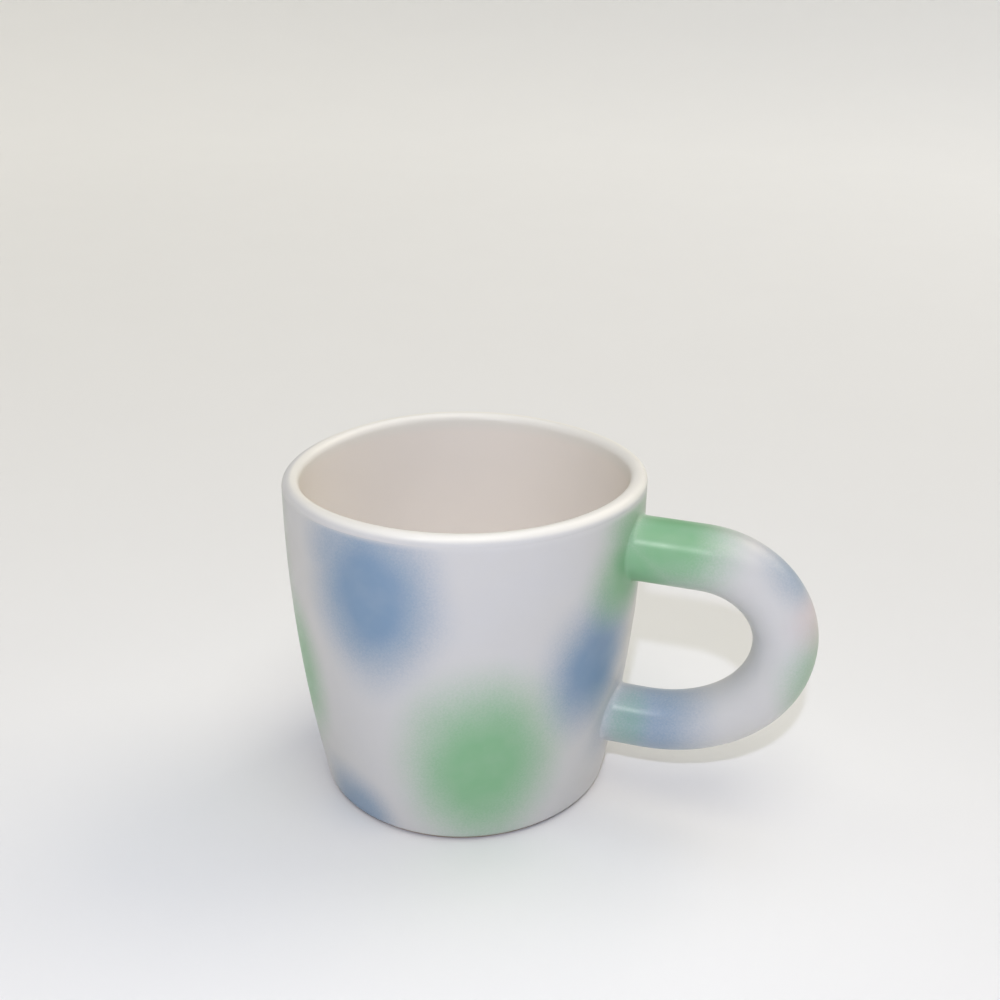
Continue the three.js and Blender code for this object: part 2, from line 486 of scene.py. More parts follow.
class Recipe:
    """A material's shader, mixed one step at a time from the piece's own coordinates."""

    def __init__(self, name: str) -> None:
        """Starts a material with an empty Principled shader."""
        self.material = bpy.data.materials.new(name)
        self.material.use_nodes = True
        self.tree = self.material.node_tree
        self.shader = self.tree.nodes["Principled BSDF"]
        self.place = self.tree.nodes.new("ShaderNodeTexCoord").outputs["Object"]

    def feed(self, socket: bpy.types.NodeSocket, value: object) -> None:
        """Links a socket to another one, or sets it.

        Args:
            socket: The socket of a node's input.
            value: Another node's output, or a number, a colour or a vector.
        """
        if isinstance(value, bpy.types.NodeSocket):
            self.tree.links.new(value, socket)
        else:
            socket.default_value = value

    def step(self, kind: str, settings: dict, inputs: dict) -> bpy.types.Node:
        """Adds a node.

        Args:
            kind: The node's type.
            settings: Its own options.
            inputs: What its sockets get, by name or by number.

        Returns:
            The node.
        """
        node = self.tree.nodes.new(kind)
        for name, value in settings.items():
            setattr(node, name, value)
        for key, value in inputs.items():
            self.feed(node.inputs[key], value)
        return node

    def maths(self, operation: str, *values: object, clamp: bool = False) -> bpy.types.NodeSocket:
        """A step of arithmetic on numbers."""
        settings = {"operation": operation, "use_clamp": clamp}
        return self.step("ShaderNodeMath", settings, dict(enumerate(values))).outputs[0]

    def vector(self, operation: str, *values: object) -> bpy.types.Node:
        """A step of arithmetic on vectors."""
        return self.step("ShaderNodeVectorMath", {"operation": operation}, dict(enumerate(values)))

    def noise(self, size: float, detail: float = 2.0, offset: float = 0.0) -> bpy.types.NodeSocket:
        """Cloudy noise.

        Args:
            size: Size of its features, in millimetres.
            detail: How many finer layers it has.
            offset: How far it is moved, in metres, so that two noises differ.

        Returns:
            The noise, from 0 to 1.
        """
        place = self.place
        if offset:
            place = self.vector("ADD", place, (offset, offset, offset)).outputs[0]
        inputs = {"Vector": place, "Scale": 1 / (size * MM), "Detail": detail}
        return self.step("ShaderNodeTexNoise", {}, inputs).outputs["Fac"]

    def ramp(
        self, value: object, low: float, high: float, start: float = 0.0, end: float = 1.0
    ) -> bpy.types.NodeSocket:
        """Eases from one value to another.

        Args:
            value: What to ease.
            low: Where it starts to ease.
            high: Where it has eased.
            start: The result at low.
            end: The result at high.

        Returns:
            The eased value.
        """
        inputs = {"Value": value, "From Min": low, "From Max": high, "To Min": start, "To Max": end}
        settings = {"interpolation_type": "SMOOTHSTEP"}
        return self.step("ShaderNodeMapRange", settings, inputs).outputs["Result"]

    def blend(self, share: object, first: object, second: object) -> bpy.types.NodeSocket:
        """Mixes two colours.

        Args:
            share: Share of the second colour, from 0 to 1.
            first: The first colour.
            second: The second colour.

        Returns:
            The mixed colour.
        """
        colours = [(*c, 1.0) if isinstance(c, tuple) else c for c in (first, second)]
        node = self.step("ShaderNodeMix", {"data_type": "RGBA"}, {})
        self.feed(node.inputs[0], share)
        self.feed(node.inputs[6], colours[0])
        self.feed(node.inputs[7], colours[1])
        return node.outputs[2]

    def height(self) -> bpy.types.NodeSocket:
        """The height above the table in millimetres."""
        z = self.step("ShaderNodeSeparateXYZ", {}, {0: self.place}).outputs["Z"]
        return self.maths("MULTIPLY", z, 1 / MM)

    def radius(self) -> bpy.types.NodeSocket:
        """The distance from the cup's axis in millimetres."""
        flat = self.vector("MULTIPLY", self.place, (1 / MM, 1 / MM, 0)).outputs[0]
        return self.vector("LENGTH", flat).outputs["Value"]

    def specks(self, spacing: float, size: float, share: float) -> bpy.types.NodeSocket:
        """Sparse round specks.

        Args:
            spacing: Distance between places where a speck may be, in millimetres.
            size: Radius of the largest speck, in millimetres.
            share: Share of those places that have one.

        Returns:
            1 inside a speck and 0 elsewhere.
        """
        inputs = {"Vector": self.place, "Scale": 1 / (spacing * MM)}
        cells = self.step("ShaderNodeTexVoronoi", {}, inputs)
        inside = self.ramp(cells.outputs["Distance"], size / spacing, 0.5 * size / spacing)
        pick = self.step("ShaderNodeSeparateColor", {}, {0: cells.outputs["Color"]}).outputs[0]
        chosen = self.maths("LESS_THAN", pick, share)
        return self.maths("MULTIPLY", inside, chosen)

    def bump(self, layers: Sequence[tuple[bpy.types.NodeSocket, float]]) -> None:
        """Raises the surface.

        Args:
            layers: For each layer, its height from 0 to 1 and its depth in millimetres.
        """
        normal = None
        for height, depth in layers:
            inputs = {"Height": height, "Distance": depth * MM, "Strength": 1.0}
            node = self.step("ShaderNodeBump", {}, inputs)
            if normal is not None:
                self.feed(node.inputs["Normal"], normal)
            normal = node.outputs["Normal"]
        self.feed(self.shader.inputs["Normal"], normal)


@dataclass(frozen=True)
class BareClay:
    """Fired stoneware without glaze: dry, warm and slightly sandy.

    Attributes:
        name: The material's name.
        pale: Colour of the fine clay, darkened in the default as painted shade at the foot.
        dark: Colour of the grog in it, darkened in the default as painted shade at the foot.
    """

    name: str = "bare_clay"
    # Clay's own brown, darkened further as painted shade in the gap at the foot.
    pale: Colour = (0.38, 0.30, 0.23)
    dark: Colour = (0.23, 0.175, 0.13)

    def material(self) -> bpy.types.Material:
        """Builds the material.

        Returns:
            The material, with grains of grog in two tones and a dry, sandy surface.
        """
        recipe = Recipe(self.name)
        grog = recipe.ramp(recipe.noise(0.5, 3.0), 0.55, 0.75)
        tone = recipe.blend(recipe.noise(9.0), self.pale, tuple(0.9 * c for c in self.pale))
        recipe.feed(recipe.shader.inputs["Base Color"], recipe.blend(grog, tone, self.dark))
        roughness = recipe.ramp(grog, 0, 1, 0.9, 0.75)
        recipe.feed(recipe.shader.inputs["Roughness"], roughness)
        recipe.bump([(recipe.noise(0.35, 4.0), 0.05), (recipe.noise(4.0), 0.08)])
        return recipe.material


@dataclass(frozen=True)
class SprayedGlaze:
    """Satin white glaze over soft sprayed patches of underglaze, and one band of painted shade.

    Attributes:
        name: The material's name.
        cool: White where the coat is thick.
        warm: White where it is thinner.
        lip: Colour that the white turns to as the coat thins towards the lip.
        iron: Colour of the iron specks.
        patches: The sprayed patches, and the band of painted shade.
    """

    name: str = "outer_glaze"
    cool: Colour = (0.568, 0.568, 0.568)
    warm: Colour = (0.575, 0.565, 0.542)
    lip: Colour = (0.60, 0.595, 0.58)
    iron: Colour = (0.12, 0.10, 0.08)
    patches: tuple[Patch, ...] = PATCHES

    def mask(
        self, recipe: Recipe, place: bpy.types.NodeSocket, pigment: Pigment
    ) -> bpy.types.NodeSocket:
        """How much of one pigment lies at each place.

        Args:
            recipe: The material's recipe.
            place: The place, in the piece's own coordinates.
            pigment: The pigment.

        Returns:
            The share of full colour, from the strongest of the pigment's patches there.
        """
        total = None
        for patch in (p for p in self.patches if p.pigment is pigment):
            inputs = {
                "Vector": place,
                "Location": tuple(c * MM for c in patch.centre),
                "Rotation": (0, 0, math.radians(patch.turn)),
                "Scale": tuple(s * MM for s in patch.spread),
            }
            local = recipe.step("ShaderNodeMapping", {"vector_type": "TEXTURE"}, inputs).outputs[0]
            length = recipe.vector("LENGTH", local).outputs["Value"]
            spot = recipe.ramp(length, 0.35, 1.65, patch.strength, 0.0)
            total = spot if total is None else recipe.maths("MAXIMUM", total, spot)
        return total

    def sprayed(self, recipe: Recipe, mask: bpy.types.NodeSocket) -> bpy.types.NodeSocket:
        """Breaks a fading mask up into the fine drops of a spray.

        Args:
            recipe: The material's recipe.
            mask: The mask, from 0 to 1.

        Returns:
            The mask with drops where it fades, and a little uneven.
        """
        edge = recipe.maths("MULTIPLY", mask, recipe.maths("SUBTRACT", 1.0, mask))
        grain = recipe.maths("SUBTRACT", recipe.noise(0.45, 1.0, 0.3), 0.5)
        drops = recipe.maths("MULTIPLY", recipe.maths("MULTIPLY", edge, grain), 1.6)
        cloud = recipe.ramp(recipe.noise(7.0, 2.0, 0.7), 0.2, 0.8, 0.93, 1.03)
        return recipe.maths("MULTIPLY", recipe.maths("ADD", mask, drops), cloud, clamp=True)

    @staticmethod
    def wandering(recipe: Recipe) -> bpy.types.NodeSocket:
        """The piece's own coordinates, drifting a little so that the patches aren't true ovals.

        Args:
            recipe: The material's recipe.

        Returns:
            The drifting coordinates.
        """
        size, drift = 26 * MM, 6 * MM
        inputs = {"Vector": recipe.place, "Scale": 1 / size, "Detail": 1.0}
        noise = recipe.step("ShaderNodeTexNoise", {}, inputs).outputs["Color"]
        centred = recipe.vector("SUBTRACT", noise, (0.5,) * 3).outputs[0]
        inputs = {0: centred, "Scale": drift}
        moved = recipe.step("ShaderNodeVectorMath", {"operation": "SCALE"}, inputs).outputs[0]
        return recipe.vector("ADD", recipe.place, moved).outputs[0]

    def material(self) -> bpy.types.Material:
        """Builds the material.

        Returns:
            The material: uneven white, sprayed patches, painted shade, iron specks, a satin
                surface.
        """
        recipe = Recipe(self.name)
        height = recipe.height()
        place = self.wandering(recipe)
        white = recipe.blend(recipe.noise(18.0, 3.0), self.cool, self.warm)
        colour = recipe.blend(recipe.ramp(height, 78.3, 80.2), white, self.lip)
        lip_fade = recipe.ramp(height, 78.6, 80.4, 1.0, 0.1)
        for pigment in Pigment:
            mask = self.sprayed(recipe, self.mask(recipe, place, pigment))
            share = recipe.maths("MULTIPLY", mask, lip_fade)
            colour = recipe.blend(share, colour, pigment.value)
        iron = recipe.specks(14.0, 0.28, 0.16)
        colour = recipe.blend(recipe.maths("MULTIPLY", iron, 0.75), colour, self.iron)
        roughness = recipe.ramp(recipe.noise(5.0, 3.0), 0.2, 0.8, 0.30, 0.38)
        recipe.feed(recipe.shader.inputs["Base Color"], colour)
        recipe.feed(recipe.shader.inputs["Roughness"], roughness)
        recipe.shader.inputs["IOR"].default_value = 1.5
        pits = recipe.maths("SUBTRACT", 1.0, iron)
        waves, ripples = recipe.noise(14.0, 1.0), recipe.noise(2.6, 1.0)
        recipe.bump([(waves, 0.12), (ripples, 0.008), (pits, 0.05)])
        return recipe.material


@dataclass(frozen=True)
class LinerGlaze:
    """Glossy warm white glaze, poured inside and rolled over the lip.

    Attributes:
        name: The material's name.
        lip: Colour of the thick roll on the lip.
        inside: Colour of the coat on the inside wall.
        floor_tone: Colour on the floor, darker than on the inside wall.
        thin: Colour of the feathered edge over the outer glaze.
        iron: Colour of the iron specks.
    """

    name: str = "liner_glaze"
    lip: Colour = (0.80, 0.78, 0.71)
    inside: Colour = (0.85, 0.80, 0.725)
    floor_tone: Colour = (0.79, 0.735, 0.655)
    thin: Colour = (0.60, 0.595, 0.58)
    iron: Colour = (0.14, 0.11, 0.09)

    def material(self) -> bpy.types.Material:
        """Builds the material.

        Returns:
            The material: cream, paler on the lip and darker on the floor, and glossy.
        """
        recipe = Recipe(self.name)
        height = recipe.height()
        coat = recipe.blend(recipe.ramp(height, 5.0, 16.0), self.floor_tone, self.inside)
        cloud = recipe.ramp(recipe.noise(16.0, 1.0), 0.3, 0.7, 0.0, 0.3)
        coat = recipe.blend(cloud, coat, tuple(0.95 * c for c in self.inside))
        coat = recipe.blend(recipe.ramp(height, 76.5, 80.2), coat, self.lip)
        outside = recipe.ramp(recipe.radius(), 41.6, 42.6)
        low = recipe.ramp(height, 80.5, 81.7, 1.0, 0.0)
        coat = recipe.blend(recipe.maths("MULTIPLY", outside, low), coat, self.thin)
        iron = recipe.specks(12.0, 0.26, 0.2)
        coat = recipe.blend(recipe.maths("MULTIPLY", iron, 0.7), coat, self.iron)
        roughness = recipe.ramp(recipe.noise(6.0, 3.0), 0.2, 0.8, 0.29, 0.37)
        recipe.feed(recipe.shader.inputs["Base Color"], coat)
        recipe.feed(recipe.shader.inputs["Roughness"], roughness)
        recipe.shader.inputs["IOR"].default_value = 1.5
        pits = recipe.maths("SUBTRACT", 1.0, iron)
        waves, ripples = recipe.noise(12.0, 1.0), recipe.noise(2.6, 1.0)
        recipe.bump([(waves, 0.15), (ripples, 0.008), (pits, 0.05)])
        return recipe.material


@dataclass(frozen=True)
class Paper:
    """Matt seamless paper for the studio sweep.

    Attributes:
        name: The material's name.
        tone: Its colour.
    """

    name: str = "studio_paper"
    tone: Colour = (0.80, 0.80, 0.79)

    def material(self) -> bpy.types.Material:
        """Builds the material.

        Returns:
            The material, hardly uneven, with a fine tooth.
        """
        recipe = Recipe(self.name)
        darker = tuple(0.985 * c for c in self.tone)
        shade = recipe.blend(recipe.noise(60.0, 2.0), self.tone, darker)
        recipe.feed(recipe.shader.inputs["Base Color"], shade)
        recipe.shader.inputs["Roughness"].default_value = 0.9
        recipe.shader.inputs["Specular IOR Level"].default_value = 0.2
        recipe.bump([(recipe.noise(0.8, 3.0), 0.02)])
        return recipe.material


# ---- Pieces of the mug ----------------------------------------------------------------------


@dataclass
class CupClay:
    """The cast cup of bare clay, seen only at the foot.

    Attributes:
        columns: Number of columns round the cup.
        rows: Number of rows up each side of the wall.
    """

    columns: int = 128
    rows: int = 16

    def build(self) -> bpy.types.Object:
        """Turns the section of the cup and finishes it by hand.

        Returns:
            The cup, a closed solid.
        """
        depth = CUP.clay_depth
        edge_x = CUP.wall_radius(CUP.foot_edge, depth) - CUP.foot_edge
        rise = (CUP.level - CUP.foot_edge) / self.rows
        heights = [CUP.foot_edge + rise * i for i in range(1, self.rows)]
        outline = [(0.0, 0.0)]
        outline += [(edge_x * i / 4, 0.0) for i in range(1, 4)]
        outline += arc(edge_x, CUP.foot_edge, CUP.foot_edge, -math.pi / 2, 0, 5)
        outline += CUP.wall(heights, depth)
        outline += CUP.lip(depth, 0, math.pi, 8)
        outline += CUP.lining(depth, self.rows)
        bm = bmesh.new()
        spun(bm, outline, self.columns)
        for vert in bm.verts:
            vert.co = CUP.hand_finished(vert.co)
        bmesh.ops.recalc_face_normals(bm, faces=bm.faces)
        return finished(bm, "clay_cup")

    def make(self, clay: bpy.types.Material) -> bpy.types.Object:
        """Builds the cup, dresses it and sets it in the frame.

        Args:
            clay: Its material.

        Returns:
            The cup.
        """
        piece = self.build()
        piece.data.materials.append(clay)
        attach(piece, ROOT)
        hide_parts("cup_body")
        return piece


@dataclass
class LinerCoat:
    """The liner glaze: outside roll below the lip, lip, inside wall and floor.

    Attributes:
        columns: Number of columns round the cup.
        roll: Height of the feathered edge outside, in millimetres.
        tuck: How far the outer glaze under that edge lies below the surface, in millimetres.
        feather: Height over which the edge grows thicker, in millimetres.
        feather_depth: Its thickness there, in millimetres.
        lip_steps: Number of stretches over the lip.
        wall_steps: Number of stretches down the inside wall.
    """

    columns: int = 96
    roll: float = 79.3
    tuck: float = 0.05
    feather: float = 0.5
    feather_depth: float = 0.2
    lip_steps: int = 12
    wall_steps: int = 26

    def side(self, depth: float) -> Outline:
        """The lip and the inside, at a depth below the glazed surface."""
        return CUP.lip(depth, 0, math.pi, self.lip_steps) + CUP.lining(depth, self.wall_steps)

    def is_tip(self, vert: BMVert) -> bool:
        """Whether a point lies on the feathered edge outside."""
        return abs(vert.co.z / MM - self.roll) < 0.01 and vert.co.length > 50 * MM

    def build(self) -> bpy.types.Object:
        """Turns the front and the back of the coat as one closed skin.

        Returns:
            The coat, a closed solid.
        """
        thick = self.roll + self.feather
        front = CUP.wall([self.roll], self.tuck) + CUP.wall([thick]) + self.side(0)
        back = CUP.wall([thick], self.feather_depth) + self.side(CUP.glaze)
        bm = bmesh.new()
        spun(bm, front + back[::-1], self.columns, closed=True)
        for edge in bm.edges:
            if all(self.is_tip(vert) for vert in edge.verts):
                edge.smooth = False
        for vert in bm.verts:
            vert.co = CUP.hand_finished(vert.co)
        bmesh.ops.recalc_face_normals(bm, faces=bm.faces)
        piece = finished(bm, "liner_glaze_coat")
        subdivided(piece, 1)
        return piece

    def make(self, glaze: bpy.types.Material) -> bpy.types.Object:
        """Builds the coat, dresses it and sets it in the frame.

        Args:
            glaze: Its material.

        Returns:
            The coat.
        """
        piece = self.build()
        piece.data.materials.append(glaze)
        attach(piece, ROOT)
        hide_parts("liner_glaze")
        return piece


@dataclass
class OuterCoat:
    """The outer glaze: one skin over the wall, both joints and the handle.

    Attributes:
        columns: Number of columns round the cup.
        half_block: Columns, and rows, from the middle of a joint to the edge of its block.
        block_reach: Distance from the middle of a joint to its block's upper edge, in mm.
        tuck: How far the top edge lies below the liner glaze that covers it, in mm.
        foot_line: Height of the lower edge, in mm.
        clear: Distance from a fillet to the first ring of the handle, in mm.
        apron: Distance from a fillet to the ring round it on the wall, in mm.
        bend_steps: Number of stretches in each quarter of the handle's bend.
    """

    columns: int = 96
    half_block: int = 4
    block_reach: float = 10.1
    tuck: float = 0.05
    foot_line: float = field(default_factory=lambda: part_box("outer_glaze")[0].z / MM)
    clear: float = 1.4
    apron: float = 0.25
    bend_steps: int = 14

    @property
    def section(self) -> int:
        """Number of points round the handle's section, the same as round a block."""
        return 8 * self.half_block

    def heights(self) -> list[float]:
        """Heights of the wall's rows, with even rows behind each joint.

        Returns:
            The heights, in millimetres, from the foot up.
        """
        stops = [
            (self.foot_line, 1),
            (self.foot_line + 1.2, 4),
            (HANDLE.lower_arm - self.block_reach, 2 * self.half_block),
            (HANDLE.lower_arm + self.block_reach, 9),
            (HANDLE.upper_arm - self.block_reach, 2 * self.half_block),
            (HANDLE.upper_arm + self.block_reach, 2),
            (CUP.level - 0.6, 0),
        ]
        rows: list[float] = []
        for (low, steps), (high, _) in zip(stops, stops[1:]):
            rows += [low + (high - low) * i / steps for i in range(steps)]
        return rows + [stops[-1][0]]

    def wall(self, bm: BMesh) -> None:
        """Turns the wall, whose top edge is tucked under the liner glaze.

        Args:
            bm: The mesh to add to.
        """
        rows = self.heights()
        outline = CUP.wall(rows[:-1])
        outline += CUP.wall(rows[-1:], self.tuck)
        outline += CUP.lip(self.tuck, 0, math.radians(18), 1)
        spun(bm, outline, self.columns)

    def cut_block(self, bm: BMesh, height: float) -> list[BMEdge]:
        """Opens the wall behind one joint.

        Args:
            bm: The mesh of the wall, still true round.
            height: Height of the joint.

        Returns:
            The edges round the opening.
        """
        half_angle = TURN * self.half_block / self.columns

        def is_behind(face: BMFace) -> bool:
            """Whether a face lies behind the joint."""
            middle = face.calc_center_median()
            beside = abs(math.atan2(middle.y, middle.x)) < half_angle
            return beside and abs(middle.z / MM - height) < self.block_reach

        def is_round(vert: BMVert) -> bool:
            """Whether a point lies round the joint's opening."""
            beside = vert.co.x > 0 and abs(vert.co.y) < 12 * MM
            return beside and abs(vert.co.z / MM - height) < self.block_reach + 0.1

        inside = [face for face in bm.faces if is_behind(face)]
        bmesh.ops.delete(bm, geom=inside, context="FACES")
        open_edges = [edge for edge in bm.edges if edge.is_boundary]
        return [edge for edge in open_edges if all(is_round(vert) for vert in edge.verts)]

    def number(self, edges: list[BMEdge], height: float, slot: object) -> None:
        """Numbers the points round an opening from the top, on towards +Y.

        Args:
            edges: The edges round the opening.
            height: Height of the opening's middle.
            slot: The layer that takes each point's number.
        """
        verts = {vert for edge in edges for vert in edge.verts}
        order = sorted(verts, key=lambda v: math.atan2(v.co.y, v.co.z - height * MM) % TURN)
        for index, vert in enumerate(order):
            vert[slot] = index

    def extend(
        self, bm: BMesh, edges: list[BMEdge], slot: object, place: Callable[[float], Vector]
    ) -> list[BMEdge]:
        """Extrudes a ring and puts each of its points in place.

        Args:
            bm: The mesh.
            edges: The open ring.
            slot: The layer that holds each point's number round the ring.
            place: Gives a point's place in millimetres from its angle round the handle.

        Returns:
            The edges of the new ring.
        """
        geometry = bmesh.ops.extrude_edge_only(bm, edges=edges)["geom"]
        verts = {item for item in geometry if isinstance(item, BMVert)}
        for vert in verts:
            vert.co = place(TURN * vert[slot] / self.section) * MM
        return [item for item in geometry if isinstance(item, BMEdge) and set(item.verts) <= verts]

    @staticmethod
    def flare(
        height: float, radius: float, away: float, side: float
    ) -> Callable[[float], Vector]:
        """A ring of the fillet between wall and handle.

        Args:
            height: Height of the joint.
            radius: The ring's radius.
            away: The ring's distance from the wall.
            side: 1 where the handle leaves the wall, -1 where it comes back.

        Returns:
            The place of a point by its angle round the handle.
        """

        def place(angle: float) -> Vector:
            """A point of the ring, by its angle round the handle."""
            y = radius * math.sin(angle)
            z = height + side * radius * math.cos(angle)
            return Vector((CUP.wall_beside_handle(y, z) + away, y, z))

        return place

    def fillet(self, height: float, radius: float, side: float) -> list[Callable[[float], Vector]]:
        """The rings of one fillet, from the wall out to the handle.

        Args:
            height: Height of the joint.
            radius: Half the thickness of the handle there.
            side: 1 where the handle leaves the wall, -1 where it comes back.

        Returns:
            For each ring, the place of a point by its angle round the handle.
        """
        reach = HANDLE.fillet
        rings = [self.flare(height, radius + reach + self.apron, 0.0, side)]
        for turn in (0.0, 25.0, 50.0, 75.0):
            lean = math.radians(turn)
            ring = radius + reach * (1 - math.sin(lean))
            rings.append(self.flare(height, ring, reach * (1 - math.cos(lean)), side))
        return rings

    def tube(self) -> list[Callable[[float], Vector]]:
        """The rings along the handle, from fillet to fillet.

        Returns:
            For each ring, the place of a point by its angle round the handle.
        """
        reach = HANDLE.fillet + self.clear
        start = CUP.wall_beside_handle(0, HANDLE.upper_arm) + reach
        end = CUP.wall_beside_handle(0, HANDLE.lower_arm) + reach
        line = HANDLE.line(start, end, self.bend_steps)
        rings = []
        for index, centre in enumerate(line):
            before = line[max(0, index - 1)]
            after = line[min(len(line) - 1, index + 1)]
            along = (after - before).normalized()
            across = Vector((-along.z, 0, along.x))
            radius = HANDLE.radius(index / (len(line) - 1))
            rings.append(self.ring(centre, across, radius))
        return rings

    @staticmethod
    def ring(centre: Vector, across: Vector, radius: float) -> Callable[[float], Vector]:
        """A round ring about a point of the centreline, in millimetres."""
        side = Vector((0, 1, 0))
        return lambda angle: centre + radius * (math.cos(angle) * across + math.sin(angle) * side)

    def build(self) -> bpy.types.Object:
        """Turns the wall, opens it at the joints and draws the handle out of it.

        Returns:
            The coat, a skin with its thickness.
        """
        bm = bmesh.new()
        slot = bm.verts.layers.int.new("slot")
        self.wall(bm)
        upper = self.cut_block(bm, HANDLE.upper_arm)
        lower = self.cut_block(bm, HANDLE.lower_arm)
        for vert in bm.verts:
            vert.co = CUP.hand_finished(vert.co)
        self.number(upper, HANDLE.upper_arm, slot)
        rings = self.fillet(HANDLE.upper_arm, HANDLE.upper_thickness / 2, 1)
        rings += self.tube()
        rings += reversed(self.fillet(HANDLE.lower_arm, HANDLE.lower_thickness / 2, -1))
        edges = upper
        for ring in rings:
            edges = self.extend(bm, edges, slot, ring)
        bmesh.ops.bridge_loops(bm, edges=edges + lower)
        flat = Vector((1, 1, 0))
        face_outwards(bm, lambda face: face.normal.dot(face.calc_center_median() * flat))
        piece = finished(bm, "outer_glaze_coat")
        thickened(piece, CUP.glaze)
        subdivided(piece, 1)
        return piece

    def make(self, glaze: bpy.types.Material) -> bpy.types.Object:
        """Builds the coat, dresses it and sets it in the frame.

        Args:
            glaze: Its material.

        Returns:
            The coat.
        """
        piece = self.build()
        piece.data.materials.append(glaze)
        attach(piece, ROOT)
        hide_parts("outer_glaze")
        return piece


def dress_frame_node(name: str, material: bpy.types.Material) -> bpy.types.Object:
    """Gives a CAD node that stays in the model its finish.

    Args:
        name: The node's name.
        material: Its material.

    Returns:
        The node's object.
    """
    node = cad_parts[name]
    node.data.materials.clear()
    node.data.materials.append(material)
    return node


# ---- Studio ---------------------------------------------------------------------------------


@dataclass(frozen=True)
class SoftLight:
    """A wide light far away.

    Attributes:
        name: Its name.
        strength: Its strength, as a sun's.
        colour: Its colour.
        azimuth: Degrees round from the camera's side of the mug, clockwise seen from above.
        elevation: Degrees above the floor.
        width: How wide it looks, in degrees.
    """

    name: str
    strength: float
    colour: Colour
    azimuth: float
    elevation: float
    width: float = 40.0

    @property
    def towards(self) -> Vector:
        """Unit vector from the mug to the light."""
        turn = math.radians(VIEWPOINT.azimuth - self.azimuth)
        tilt = math.radians(self.elevation)
        flat = Vector((math.sin(turn), -math.cos(turn), 0)) * math.cos(tilt)
        return flat + Vector((0, 0, math.sin(tilt)))


@dataclass(frozen=True)
class Lamp:
    """A small round lamp.

    Attributes:
        name: Its name.
        power: Its power, in watts.
        colour: Its colour.
        radius: Its radius, in metres.
        place: Where it hangs, in metres.
        diffuse: Whether it lights the surfaces.
        glossy: Whether it shows as a highlight on them.
    """

    name: str
    power: float
    colour: Colour
    radius: float
    place: tuple[float, float, float]
    diffuse: bool = True
    glossy: bool = True


@dataclass(frozen=True)
class Panel:
    """A square lamp that lights the paper behind the mug.

    Attributes:
        name: Its name.
        power: Its power, in watts.
        colour: Its colour.
        size: Its side, in metres.
        place: Where it hangs, in metres.
        aim: The point that it faces, in metres.
    """

    name: str
    power: float
    colour: Colour
    size: float
    place: tuple[float, float, float]
    aim: tuple[float, float, float]


@dataclass(frozen=True)
class Viewpoint:
    """Where the camera stands and how it looks.

    Attributes:
        azimuth: Degrees that it stands round from the mug's front, towards the handle.
        away: Distance from the mug's axis, in metres.
        up: Height, in metres.
        lens: Focal length, in millimetres.
        sensor: Width of the sensor, in millimetres.
        aside: Degrees that it looks to the right of the mug's axis.
        down: Degrees that it looks down.
        roll: Degrees that it is rolled.
    """

    azimuth: float = 21.53
    away: float = 0.32137
    up: float = 0.20247
    lens: float = 51.01
    sensor: float = 36.0
    aside: float = 1.537
    down: float = 21.878
    roll: float = 0.547


VIEWPOINT = Viewpoint()
SOFT_LIGHTS = (
    SoftLight("ceiling", 1.03, (1.0, 0.965, 0.86), 0, 70),
    SoftLight("back", 0.40, (0.85, 0.90, 1.0), 180, 70),
    SoftLight("right", 0.36, (0.88, 0.92, 1.0), 270, 70),
    SoftLight("right_back", 0.85, (1.0, 0.89, 0.70), 240, 40),
    SoftLight("left", 0.16, (1.0, 0.97, 0.86), 100, 62, 24.0),
)


KEY = Lamp(
    "key", 4.1, (0.95, 1.0, 1.28), radius=0.008, place=(0.1416, -0.4179, 0.3536), glossy=False
)
GLINT = Lamp(
    "glint", 2.2, (1.0, 1.0, 1.0), radius=0.012, place=(-0.045, -0.36, 0.40), diffuse=False
)
BACKDROP = Panel(
    "backdrop", 3.6, (0.99, 0.985, 1.05), size=1.0, place=(0.5, 0.85, 1.2), aim=(0.35, 1.65, 0.2)
)


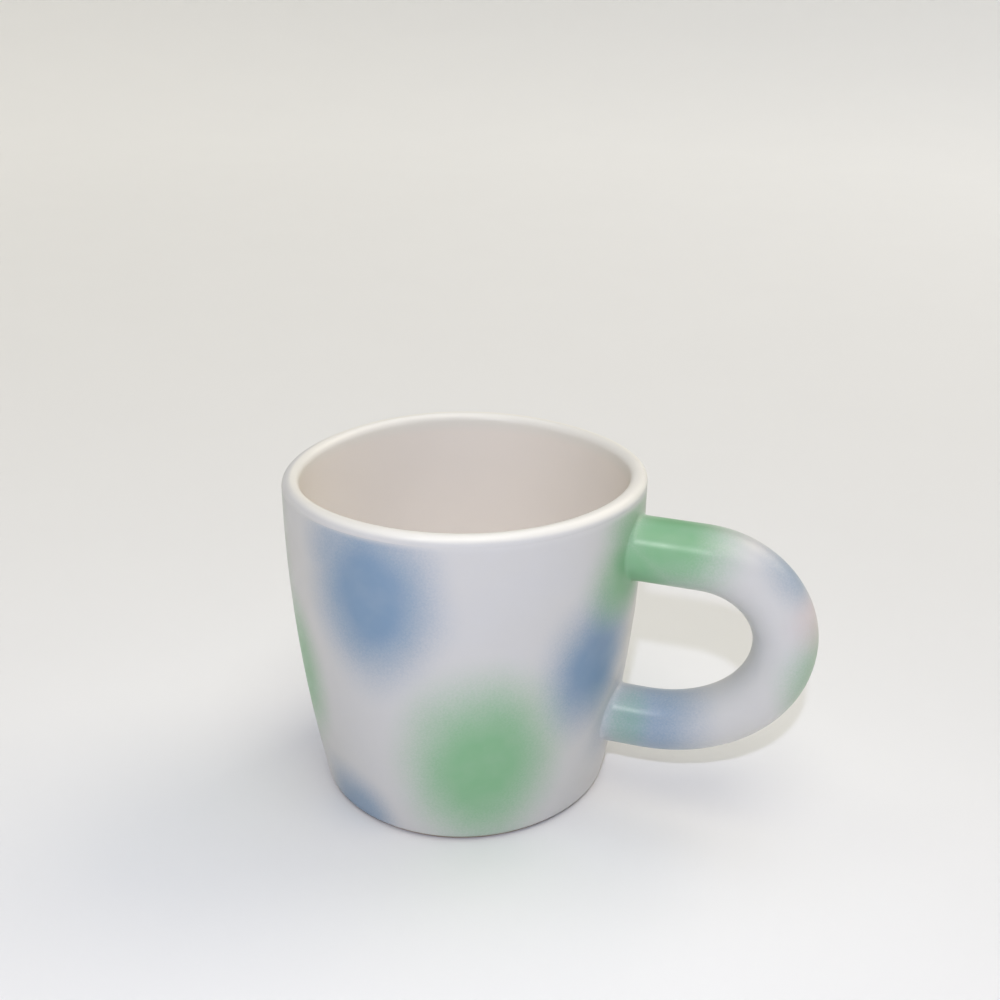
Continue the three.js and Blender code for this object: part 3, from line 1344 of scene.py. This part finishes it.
@dataclass
class Studio:
    """Pale seamless sweep, lights and the camera.

    Attributes:
        floor_radius: Radius of the flat floor, in metres.
        sweep: Radius of the curve up into the wall, in metres.
        wall: Height of the wall, in metres.
        key: The small lamp above the camera, which throws the sharp shadow.
        glint: The lamp that only shows as a highlight.
        backdrop: The panel that lights the paper behind the mug.
        soft_lights: The room's soft lights.
    """

    floor_radius: float = 1.1
    sweep: float = 0.7
    wall: float = 0.9
    key: Lamp = KEY
    glint: Lamp = GLINT
    backdrop: Panel = BACKDROP
    soft_lights: tuple[SoftLight, ...] = SOFT_LIGHTS

    def build_sweep(self) -> bpy.types.Object:
        """A round floor that curves up into a wall all the way round.

        Returns:
            The sweep, which throws no shadow.
        """
        outline = [(self.floor_radius * i / 6, 0.0) for i in range(7)]
        outline += arc(self.floor_radius, self.sweep, self.sweep, -math.pi / 2, 0, 12)[1:]
        outline += [(self.floor_radius + self.sweep, self.wall)]
        bm = bmesh.new()
        spun(bm, [(radius / MM, z / MM) for radius, z in outline], 96)
        face_outwards(bm, lambda face: face.normal.z)
        piece = finished(bm, "studio_sweep")
        piece.data.materials.append(Paper().material())
        piece.visible_shadow = False
        return piece

    @staticmethod
    def add_light(kind: str, name: str, power: float, colour: Colour) -> bpy.types.Object:
        """Adds a light.

        Args:
            kind: Its type.
            name: Its name.
            power: Its power, or its strength if it is a sun.
            colour: Its colour.

        Returns:
            The light's object, linked to the scene.
        """
        data = bpy.data.lights.new(name, kind)
        data.energy = power
        data.color = colour
        light = bpy.data.objects.new(name, data)
        bpy.context.scene.collection.objects.link(light)
        return light

    def build_lamp(self, lamp: Lamp) -> None:
        """Hangs a small round lamp.

        Args:
            lamp: The lamp.
        """
        light = self.add_light("POINT", lamp.name, lamp.power, lamp.colour)
        light.data.shadow_soft_size = lamp.radius
        light.location = lamp.place
        light.visible_diffuse = lamp.diffuse
        light.visible_glossy = lamp.glossy

    def build_lights(self) -> None:
        """Hangs the two small lamps, the panel and the room's soft lights."""
        self.build_lamp(self.key)
        self.build_lamp(self.glint)
        backdrop = self.backdrop
        panel = self.add_light("AREA", backdrop.name, backdrop.power, backdrop.colour)
        panel.data.size = backdrop.size
        panel.location = backdrop.place
        aim = Vector(backdrop.aim) - panel.location
        panel.rotation_euler = aim.to_track_quat("-Z", "Y").to_euler()
        for soft in self.soft_lights:
            light = self.add_light("SUN", soft.name, soft.strength, soft.colour)
            light.data.angle = math.radians(soft.width)
            light.rotation_euler = soft.towards.to_track_quat("Z", "Y").to_euler()

    def build_camera(self) -> bpy.types.Object:
        """Sets up the camera, a little above the mug's rim and to the right of its front.

        Returns:
            The camera's object.
        """
        view = VIEWPOINT
        round_by = math.radians(view.azimuth)
        data = bpy.data.cameras.new("camera")
        data.lens = view.lens
        data.sensor_width = view.sensor
        data.clip_start = 0.01
        camera = bpy.data.objects.new("camera", data)
        bpy.context.scene.collection.objects.link(camera)
        heading = Matrix.Rotation(round_by - math.radians(view.aside), 4, "Z")
        tilt = Matrix.Rotation(math.radians(90 - view.down), 4, "X")
        roll = Matrix.Rotation(math.radians(view.roll), 4, "Z")
        place = Vector((view.away * math.sin(round_by), -view.away * math.cos(round_by), view.up))
        camera.matrix_world = Matrix.Translation(place) @ heading @ tilt @ roll
        bpy.context.scene.camera = camera
        return camera

    def make(self) -> None:
        """Sets the studio up."""
        self.build_camera()
        self.build_sweep()
        self.build_lights()
        bpy.context.scene.view_settings.view_transform = "Standard"


def report(piece: bpy.types.Object) -> None:
    """Logs a piece.

    Args:
        piece: The piece, whose name, faces and size are logged.
    """
    size = ", ".join(f"{side / MM:.1f}" for side in piece.dimensions)
    LOG.info("%s: %d faces, %s mm", piece.name, len(piece.data.polygons), size)


def main() -> None:
    """Builds the studio and the mug, piece by piece."""
    logging.basicConfig(level=logging.INFO, format="%(message)s")
    Studio().make()
    clay = BareClay().material()
    slip = BareClay("joint_slip", (0.60, 0.53, 0.44), (0.42, 0.35, 0.28)).material()
    report(CupClay().make(clay))
    report(dress_frame_node("handle", clay))
    report(dress_frame_node("upper_joint_slip", slip))
    report(dress_frame_node("lower_joint_slip", slip))
    report(OuterCoat().make(SprayedGlaze().material()))
    report(LinerCoat().make(LinerGlaze().material()))


if __name__ == "__main__":
    main()
